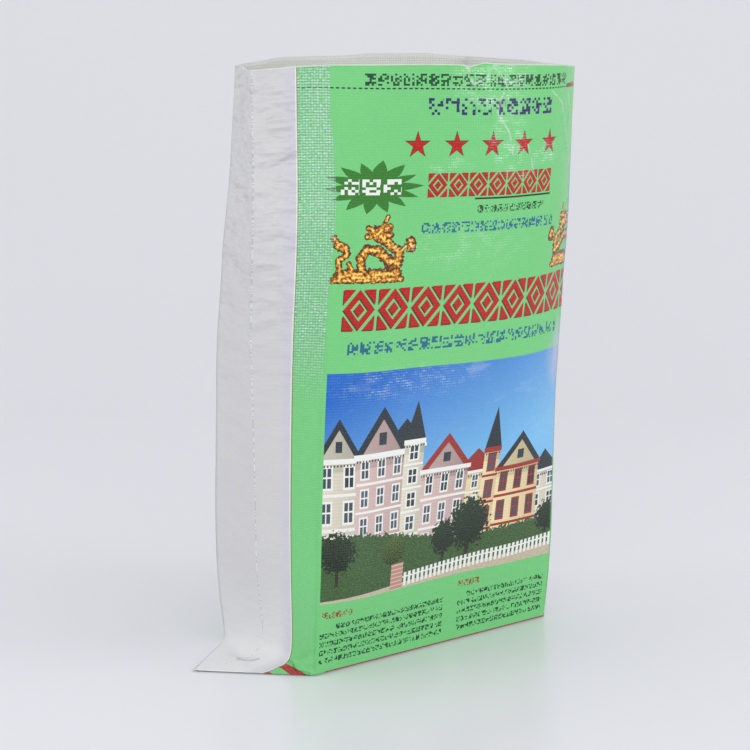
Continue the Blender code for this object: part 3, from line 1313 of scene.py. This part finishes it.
def print_notes(film, inks):
    """The small rows under the picture and the bands that run over the floor fold."""
    x, y = film.x, film.y
    for column, (start, end, indent, left, right) in enumerate(NOTE_COLUMNS):
        seed = 6.0 + column * (NOTE_ROWS + 1)
        film.marks((start, end, *NOTE_HEADING), tone(150, 66, 44), seed, tiles=5.0)
        for row in range(NOTE_ROWS):
            bottom = NOTE_START - row * NOTE_PITCH
            area = (left if row else indent, right, bottom, bottom + NOTE_HEIGHT)
            film.marks(area, inks.dark_green, seed + 1 + row, tiles=4.0)
    upper, lower = BANDS
    bands = y.near(*upper).at_least(y.near(*lower))
    bands = bands.at_least(y.near(*FLOOR_LINE) * (x > FLOOR_LINE_START))
    film.ink(bands, tone(172, 30, 26))


# Painted sheen by the right fold, pale reflections where the film turns away: middle, and reach
# across and up
PALE_PATCH = ((0.297, 0.283), (0.025, 0.043))
PALE_LINE = ((0.305, 0.215), (0.0025, 0.080))
WORN_FOLD = ((0.3025, 0.425), (0.0100, 0.090))


def soft_spot(x, y, middle, reach):
    """1 in the middle, fading to 0 at this reach across and up."""
    up = (y - middle[1]) / reach[1]
    fade = 1.0 - abs(x - middle[0]) / reach[0] - up * up
    return fade.at_least(0.0)


def side_color(graph, across, y, from_middle, fabric):
    """White film of the sides, painted lighter towards the foot and over the ears as painted light
    where the fabric faces up, with the speckled line of the middle crease.
    """
    # Painted light: the white is lighter low down and over the ears, which face up
    low = graph.mix((0.10 - y) * 7.0, fabric.side_white, tone(235, 234, 236))
    tint = graph.mix((from_middle - GREEN_REACH) * -45.0 + 0.75, low, tone(206, 202, 220))
    specks = graph.speck((y / SPECK_PITCH).floor())
    line = graph.mix(specks > 0.5, tone(176, 176, 180), tone(240, 240, 242))
    return graph.mix(across.near(SPECKED_CREASE, EDGE_LINE) * 0.55, tint, line)


def film_color(graph, x, y, fabric, inks, printing):
    """One part of the printed film, repeated on the back: its colour and where it is white."""
    across = ((x + HALF_SIDE) / TUBE_WIDTH).fract() * TUBE_WIDTH - HALF_SIDE
    film = Film(graph, inks.green, across, y)
    printing(film, inks)
    back_side = x.near(GIRTH - SIDE_WIDTH * 0.75, SIDE_WIDTH / 4)
    from_middle = abs(across - GREEN_MIDDLE) + back_side
    film.ink(from_middle.near(GREEN_REACH - EDGE_LINE, EDGE_LINE), tone(120, 122, 70))
    film.ink(from_middle > GREEN_REACH, tone(232, 234, 220))
    white = from_middle > GREEN_REACH + CREAM_LINE
    # Painted sheen: a pale lilac patch and line by the right fold
    patch = soft_spot(x, y, *PALE_PATCH)
    line = soft_spot(x, y, *PALE_LINE)
    film.ink(patch.at_least(line) * 0.8, tone(190, 190, 222))
    # Painted sheen: bluish grey specks along the right fold
    worn_fold = soft_spot(x, y, *WORN_FOLD)
    speckled = graph.cloud(500.0, 500.0, 1.0, 8.0) * 4.0 - 1.4
    film.ink(worn_fold * speckled * 0.9, tone(136, 156, 184))
    film.ink(white, side_color(graph, across, y, from_middle, fabric))
    return film.color, from_middle > GREEN_REACH


def new_material(name):
    """A material with its graph and its shader."""
    material = bpy.data.materials.new(name)
    material.use_nodes = True
    return material, Graph(material.node_tree), material.node_tree.nodes["Principled BSDF"]


def bump(graph, shader, height, distance, under=None):
    node = graph.add("ShaderNodeBump")
    node.inputs["Strength"].default_value = 1.0
    node.inputs["Distance"].default_value = distance
    graph.plug(node.inputs["Height"], height)
    if under is not None:
        graph.plug(node.inputs["Normal"], under)
    graph.plug(shader.inputs["Normal"], node.outputs[0])
    return node.outputs[0]


def printed_film_material(name, fabric, inks, printing):
    """Printed film on the woven tube: green front and back, white sides."""
    material, graph, shader = new_material(name)
    x, y = graph.place_on(FABRIC_MAP)
    color, white = film_color(graph, x, y, fabric, inks, printing)
    weave = graph.place(weave_height, x=x, y=y, tape=TAPE)
    worn = graph.place(worn_share, x=x, y=y)
    flecks = graph.place(tape_flecks, weave=weave, y=y)
    # Painted light on the film: where there is sheen, a greyer ground and pale flecks as painted
    # highlights, and at the glint spots near the mouth pale painted glints.
    color = graph.mix(worn * 0.34, color, tone(116, 172, 140))
    color = graph.mix(worn * flecks * 0.56, color, tone(212, 236, 230))
    glints = graph.place(glint_share, x=x, y=y)
    color = graph.mix(glints * (flecks - 0.12), color, tone(228, 246, 234))
    patchy = graph.cloud(14.0, 14.0, 3.0)
    # Painted shade of the weave: darker in the gaps between the tapes and lighter on their crowns,
    # most on the sheen strip, which is also darkened a little; patchy is uneven tone.
    grid = (weave - 0.4) * (worn * 0.22 - white * 0.02 + 0.035)
    color = graph.shade(color, grid + patchy * 0.06 + 0.95 - worn * 0.07)
    if printing is print_rows:
        _, from_rim = graph.place_on(RIM_MAP)
        color = graph.mix((from_rim < SEALED_EDGE) * 0.75, color, fabric.edge_cream)
        creases = graph.place(film_creases, x=x, y=y)
        # Painted highlights along the sharp creases near the mouth, which also raise the bump
        # below.
        color = graph.mix(creases * 0.55, color, tone(226, 244, 232))
    graph.plug(shader.inputs["Base Color"], color)
    wrinkles = graph.place(film_wrinkles)
    graph.plug(shader.inputs["Roughness"], patchy * 0.10 + white * 0.12 + fabric.film_roughness)
    if printing is print_rows:
        wrinkles = wrinkles + creases * 0.9
    elif printing is print_notes:
        wrinkles = wrinkles + graph.place(ear_creases, x=x, y=y) * 2.0
    soft = bump(graph, shader, wrinkles, WRINKLE_HEIGHT)
    swirls = graph.place(slack_swirls, y=y)
    soft = bump(graph, shader, swirls * white, SWIRL_HEIGHT, soft)
    seen = (worn * 0.8 + 0.40) * (1.0 - white * 0.6)
    bump(graph, shader, weave * seen, fabric.tape_relief, soft)
    shader.inputs["Specular IOR Level"].default_value = 0.22
    shader.inputs["Coat Roughness"].default_value = 0.10
    graph.plug(shader.inputs["Coat Weight"], 0.14 - white * 0.08)
    return material


def bare_tape_material(name, color, tape_relief):
    """Bare woven tape, as inside the bag and on the welded strip."""
    material, graph, shader = new_material(name)
    x, y = graph.place_on(FABRIC_MAP)
    weave = graph.place(weave_height, x=x, y=y, tape=TAPE)
    patchy = graph.cloud(30.0, 30.0, 3.0)
    # Painted shade of the weave: darker in the gaps between the tapes, lighter on their crowns;
    # patchy is uneven tone
    graph.plug(shader.inputs["Base Color"], graph.shade(color, weave * 0.14 + patchy * 0.08 + 0.82))
    graph.plug(shader.inputs["Roughness"], patchy * 0.15 + 0.42)
    bump(graph, shader, weave, tape_relief)
    return material


def cut_edge_material(color):
    """The cut and heat-sealed rim of the fabric."""
    material, graph, shader = new_material("sealed_edge")
    melted = graph.cloud(900.0, 900.0)
    graph.plug(shader.inputs["Base Color"], graph.shade(color, melted * 0.2 + 0.88))
    graph.plug(shader.inputs["Roughness"], melted * 0.3 + 0.35)
    return material


def backdrop_material(color):
    """Smooth pale floor with a faint gloss."""
    material, graph, shader = new_material("studio_floor")
    coordinates = graph.add("ShaderNodeTexCoord")
    noise_node = graph.add("ShaderNodeTexNoise")
    graph.plug(noise_node.inputs["Vector"], coordinates.outputs["Object"])
    noise_node.inputs["Scale"].default_value = 0.7
    even = Value(graph, noise_node.outputs["Fac"])
    graph.plug(shader.inputs["Base Color"], graph.shade(color, even * 0.02 + 0.99))
    graph.plug(shader.inputs["Roughness"], even * 0.04 + 0.22)
    return material


# Operators


class BAG_OT_make_sleeve(Operator):
    """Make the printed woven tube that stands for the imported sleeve"""

    bl_idname = "bag.make_sleeve"
    bl_label = "Make sleeve"

    def execute(self, context):
        fabric = context.scene.bag_fabric
        inks = context.scene.bag_print
        materials = [
            printed_film_material("printed_rows", fabric, inks, print_rows),
            printed_film_material("printed_picture", fabric, inks, print_picture),
            printed_film_material("printed_notes", fabric, inks, print_notes),
            bare_tape_material("bottom_tape", fabric.side_white, fabric.tape_relief),
            cut_edge_material(fabric.edge_cream),
            bare_tape_material("inside_tape", fabric.inside_white, fabric.tape_relief),
        ]
        sleeve = make_sleeve(fabric, materials)
        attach(sleeve, "root")
        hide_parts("sleeve")
        flat = (GIRTH, SLEEVE_LENGTH)
        return {"FINISHED"}


class BAG_OT_make_bottom(Operator):
    """Make the two folded flaps and the strip that is welded under them"""

    bl_idname = "bag.make_bottom"
    bl_label = "Make bottom"

    def execute(self, context):
        fabric = context.scene.bag_fabric
        white = bpy.data.materials["bottom_tape"]
        half_width, depth = FRONT_WIDTH / 2, HALF_SIDE + FLAP_OVERLAP
        flaps = (("front_flap", -1.0, FRONT_FLAP_LEVEL), ("back_flap", 1.0, BACK_FLAP_LEVEL))
        for name, side, level in flaps:
            outline = (
                (-half_width, side * HALF_SIDE),
                (half_width, side * HALF_SIDE),
                (half_width - FLAP_SLANT, -side * FLAP_OVERLAP),
                (FLAP_SLANT - half_width, -side * FLAP_OVERLAP),
            )
            flap = make_sheet_below(name, outline, level, fabric.fabric_thickness / 2, white)
            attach(flap, "root")
            flat, area = (FRONT_WIDTH, depth), (FRONT_WIDTH - FLAP_SLANT) * depth
        low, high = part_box("bottom_patch")
        outline = ((low.x, low.y), (high.x, low.y), (high.x, high.y), (low.x, high.y))
        strip = make_sheet_below("bottom_strip", outline, STRIP_LEVEL, STRIP_THICKNESS, white)
        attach(strip, "root")
        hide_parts("bottom_patch")
        flat = (high.x - low.x, high.y - low.y)
        return {"FINISHED"}


def add_area_light(name, place, size, power):
    """A soft box that faces the middle of the bag."""
    data = bpy.data.lights.new(name, "AREA")
    data.shape = "RECTANGLE"
    data.size, data.size_y = size
    data.energy = power
    light = bpy.data.objects.new(name, data)
    light.location = place
    direction = Vector(BAG_MIDDLE) - Vector(place)
    light.rotation_euler = direction.to_track_quat("-Z", "Y").to_euler()
    bpy.context.scene.collection.objects.link(light)


class BAG_OT_make_studio(Operator):
    """Make the pale floor and backdrop, the soft lights and the camera"""

    bl_idname = "bag.make_studio"
    bl_label = "Make studio"

    def execute(self, context):
        scene = context.scene
        studio = scene.bag_studio
        self.make_backdrop(tuple(studio.backdrop))
        self.make_world(scene, studio.soft_light)
        for name, place, size, power in SOFT_BOXES:
            add_area_light(name, place, size, getattr(studio, power))
        self.make_camera(scene)
        scene.view_settings.view_transform = "Standard"
        return {"FINISHED"}

    def make_backdrop(self, color):
        """A sweep: floor and wall with one wide curve between them, square to the camera."""
        work = bmesh.new()
        profile = ((FLOOR_START, 0.0), (FLOOR_END, 0.0), (FLOOR_END, WALL_HEIGHT))
        verts = [work.verts.new((-BACKDROP_WIDTH / 2, y, z)) for y, z in profile]
        edges = [work.edges.new(pair) for pair in zip(verts, verts[1:])]
        wall = bmesh.ops.extrude_edge_only(work, edges=edges)["geom"]
        moved = [item for item in wall if isinstance(item, bmesh.types.BMVert)]
        bmesh.ops.translate(work, vec=(BACKDROP_WIDTH, 0.0, 0.0), verts=moved)
        inner = [edge for edge in work.edges if len(edge.link_faces) == 2]
        round_off(work, inner, SWEEP_RADIUS, 24, "EDGES")
        bmesh.ops.recalc_face_normals(work, faces=work.faces)
        floor = add_piece("studio_floor", work, [backdrop_material(color)])
        floor.rotation_euler.z = -radians(CAMERA_AZIMUTH)
        floor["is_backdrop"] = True

    def make_world(self, scene, strength):
        world = bpy.data.worlds.new("soft_studio")
        world.use_nodes = True
        background = world.node_tree.nodes["Background"]
        background.inputs["Color"].default_value = (*tone(252, 254, 254), 1.0)
        background.inputs["Strength"].default_value = strength
        scene.world = world

    def make_camera(self, scene):
        data = bpy.data.cameras.new("photo_camera")
        data.sensor_width = SENSOR
        data.lens = FOCAL_PIXELS * SENSOR / IMAGE_PIXELS
        camera = bpy.data.objects.new("photo_camera", data)
        camera.location = CAMERA_PLACE
        camera.rotation_euler = (radians(90.0 - CAMERA_DOWN), 0.0, -radians(CAMERA_AZIMUTH))
        scene.collection.objects.link(camera)
        scene.camera = camera


class BAG_PT_panel(Panel):
    bl_idname = "BAG_PT_panel"
    bl_label = "Square-bottom bag"
    bl_space_type = "VIEW_3D"
    bl_region_type = "UI"
    bl_category = "Bag"

    def draw(self, context):
        scene = context.scene
        for settings in (scene.bag_fabric, scene.bag_print, scene.bag_studio):
            box = self.layout.box()
            for name in settings.__annotations__:
                box.prop(settings, name)
        for operator in OPERATORS:
            self.layout.operator(operator.bl_idname)


OPERATORS = (BAG_OT_make_studio, BAG_OT_make_sleeve, BAG_OT_make_bottom)
SETTINGS = {
    "bag_fabric": BagFabricSettings,
    "bag_print": BagPrintSettings,
    "bag_studio": BagStudioSettings,
}


def register():
    for kind in (*SETTINGS.values(), *OPERATORS, BAG_PT_panel):
        bpy.utils.register_class(kind)
    for name, kind in SETTINGS.items():
        setattr(bpy.types.Scene, name, PointerProperty(type=kind))


def unregister():
    for name in SETTINGS:
        delattr(bpy.types.Scene, name)
    for kind in (BAG_PT_panel, *OPERATORS[::-1], *SETTINGS.values()):
        bpy.utils.unregister_class(kind)


def main():
    register()
    bpy.ops.bag.make_studio()
    bpy.ops.bag.make_sleeve()
    bpy.ops.bag.make_bottom()
    boxes = {"cad": CAD_BOX, "visual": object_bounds()}
    sizes = {name: [list(corner) for corner in box] for name, box in boxes.items()}


if __name__ == "__main__":
    main()
